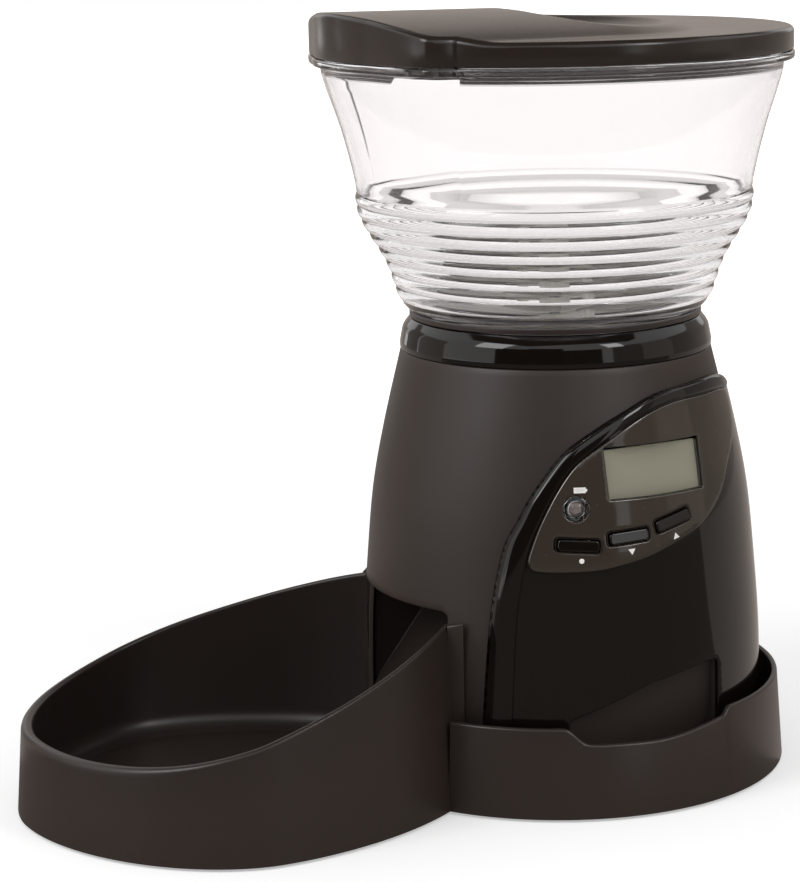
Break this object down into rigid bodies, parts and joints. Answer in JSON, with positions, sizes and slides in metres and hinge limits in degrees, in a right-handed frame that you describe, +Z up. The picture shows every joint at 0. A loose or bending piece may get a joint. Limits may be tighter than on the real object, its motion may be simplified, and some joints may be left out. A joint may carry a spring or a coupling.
{
  "type": "programmable pet feeder",
  "caption": "Dry food feeder: a clear lidded hopper on a tapered tower with a control panel and portion wheel, standing in a tray whose front is the feeding bowl.",
  "frame": {"origin": "on the floor, at the middle of the whole feeder's bounding box", "axes": "+Z up, -Y towards the bowl, +X towards the side with the control panel"},
  "size_m": [0.248, 0.421, 0.4],
  "materials": {
    "charcoal_shell": "fine matt moulded plastic",
    "satin_black": "satin moulded plastic",
    "gloss_black": "polished black plastic",
    "lid_black": "satin to gloss moulded plastic",
    "dark_plastic": "plain moulded plastic",
    "white_plastic": "plain moulded plastic",
    "nylon": "smooth natural nylon",
    "rubber": "matt rubber",
    "circuit_board": "green solder mask",
    "steel": "bright steel",
    "nickel": "nickel plate",
    "display": "grey green liquid crystal glass",
    "clear_hopper": "clear moulded plastic",
    "clear_lens": "clear polished plastic",
    "lamp_lens": "frosted clear plastic",
    "cell_jacket": "printed metal foil jacket, bare"
  },
  "bodies": {
    "base": {"base_tray": "satin_black", "foot_1": "rubber", "foot_2": "rubber", "foot_3": "rubber", "foot_4": "rubber"},
    "tower": {"tower_shell": "charcoal_shell", "control_panel": "gloss_black", "control_plate": "gloss_black", "display_lens": "clear_lens", "display_module": "display", "circuit_board": "circuit_board", "lamp_ring": "steel", "lamp_lens": "lamp_lens", "lamp_led": "white_plastic", "keypad_mat": "rubber", "bottom_cover": "dark_plastic", "neck_collar": "gloss_black", "neck_ring": "satin_black", "metering_deck": "white_plastic", "outlet_baffle": "white_plastic", "food_duct": "dark_plastic", "outlet_spout": "satin_black", "cover_screw_1": "steel", "cover_screw_2": "steel", "cover_screw_3": "steel", "cover_screw_4": "steel", "gearbox_case": "dark_plastic", "gearbox_cover": "dark_plastic", "idler_pin": "steel", "drive_motor": "nickel", "cell_1": "cell_jacket", "cell_2": "cell_jacket", "cell_3": "cell_jacket", "spring_contact_1": "nickel", "spring_contact_2": "nickel", "spring_contact_3": "nickel", "top_contact_1": "nickel", "top_contact_2": "nickel", "top_contact_3": "nickel", "battery_holder": "dark_plastic"},
    "drive": {"drive_shaft": "steel", "output_gear": "nylon", "portion_wheel": "white_plastic", "agitator": "white_plastic"},
    "idler": {"idler_gear": "nylon"},
    "pinion": {"motor_pinion": "nylon"},
    "left_key": {"key_left": "gloss_black"},
    "middle_key": {"key_middle": "gloss_black"},
    "right_key": {"key_right": "gloss_black"},
    "door": {"battery_door": "charcoal_shell"},
    "hopper": {"hopper": "clear_hopper"},
    "lid": {"lid": "lid_black"}
  },
  "joints": [
    {"name": "tower_lift", "type": "slide", "parent": "base", "child": "tower", "axis": [0, 0, 1], "range_m": [0, 0.15]},
    {"name": "hopper_lift", "type": "slide", "parent": "tower", "child": "hopper", "axis": [0, 0, 1], "range_m": [0, 0.12]},
    {"name": "lid_lift", "type": "slide", "parent": "hopper", "child": "lid", "axis": [0, 0, 1], "range_m": [0, 0.1]},
    {"name": "wheel_spin", "type": "hinge", "parent": "tower", "child": "drive", "pos_m": [0, 0.0865, 0.23], "axis": [0, 0, 1], "continuous": true},
    {"name": "idler_spin", "type": "hinge", "parent": "tower", "child": "idler", "pos_m": [0, 0.1218, 0.2], "axis": [0, 0, 1], "continuous": true},
    {"name": "pinion_spin", "type": "hinge", "parent": "tower", "child": "pinion", "pos_m": [-0.02655, 0.1218, 0.2], "axis": [0, 0, 1], "continuous": true},
    {"name": "left_key_press", "type": "slide", "parent": "tower", "child": "left_key", "axis": [-0.9458, 0.3073, -0.1049], "range_m": [0, 0.0012], "stiffness_N_per_m": 800},
    {"name": "middle_key_press", "type": "slide", "parent": "tower", "child": "middle_key", "axis": [-0.9926, 0.0607, -0.1049], "range_m": [0, 0.0012], "stiffness_N_per_m": 800},
    {"name": "right_key_press", "type": "slide", "parent": "tower", "child": "right_key", "axis": [-0.9772, -0.1846, -0.1049], "range_m": [0, 0.0012], "stiffness_N_per_m": 800},
    {"name": "door_slide", "type": "slide", "parent": "tower", "child": "door", "axis": [-0.2588, 0.9659, 0], "range_m": [0, 0.06]}
  ],
  "couplings": [
    {"joint": "idler_spin", "follows": "wheel_spin", "ratio": -3.6667},
    {"joint": "pinion_spin", "follows": "wheel_spin", "ratio": 11.733}
  ]
}
